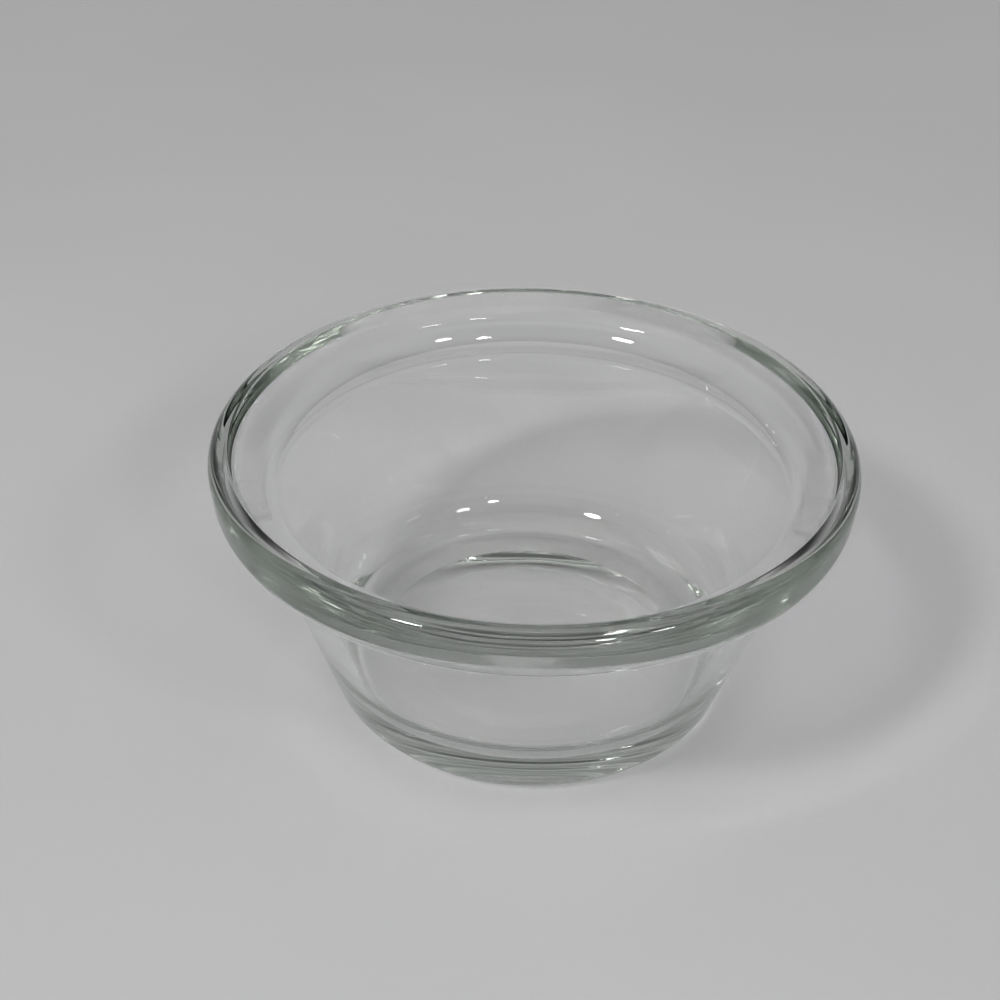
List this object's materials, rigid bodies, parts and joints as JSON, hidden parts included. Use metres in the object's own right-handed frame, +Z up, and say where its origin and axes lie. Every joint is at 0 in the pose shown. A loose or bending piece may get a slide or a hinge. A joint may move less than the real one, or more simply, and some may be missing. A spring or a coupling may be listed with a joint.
{
  "type": "prep bowl",
  "caption": "Small round clear-glass prep bowl with straight tapering walls, a thick rounded bead at its rim and a shallow domed recess inside its foot ring, for holding measured ingredients.",
  "frame": {"origin": "centre of the foot ring, on the plane that the bowl stands on", "axes": "+Z up along the bowl's axis of revolution; X and Y are free, because the bowl is round"},
  "size_m": [0.1, 0.1, 0.045],
  "materials": {
    "glass": "clear pressed soda-lime glass, fire-polished, with a faint green tint through its thick parts"
  },
  "bodies": {
    "root": {"bowl": "glass"}
  },
  "joints": []
}
